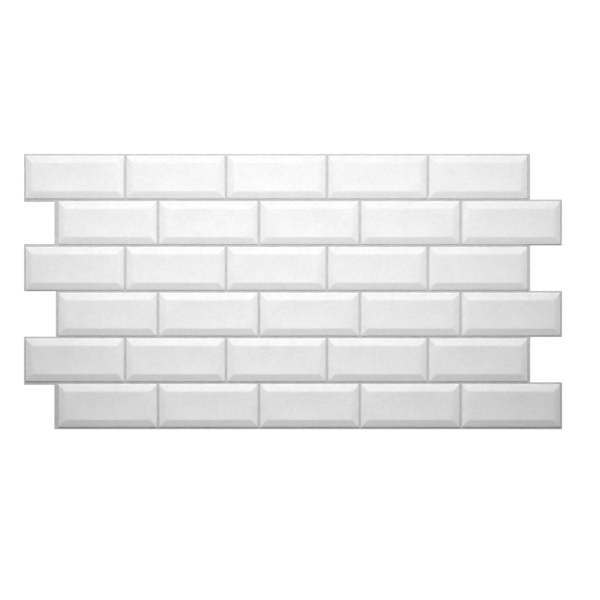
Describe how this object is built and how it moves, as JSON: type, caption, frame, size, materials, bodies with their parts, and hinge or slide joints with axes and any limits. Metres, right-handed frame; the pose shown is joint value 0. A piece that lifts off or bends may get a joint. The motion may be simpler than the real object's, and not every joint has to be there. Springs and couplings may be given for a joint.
{
  "type": "pvc wall panel",
  "caption": "Thin formed wall panel with staggered courses of bevelled tiles, sunk joints between them, and stepped ends that interlock with the next panel.",
  "frame": {"origin": "middle of the outline, at the back of the sheet, on the surface that the panel lies on", "axes": "+X along the courses, to the right in the picture; +Y up the wall; +Z out of the tiled face"},
  "size_m": [0.955, 0.489, 0.004],
  "materials": {
    "sheet": "white satin gloss, with the sunk joints printed light grey"
  },
  "bodies": {
    "root": {"panel_sheet": "sheet"}
  },
  "joints": []
}
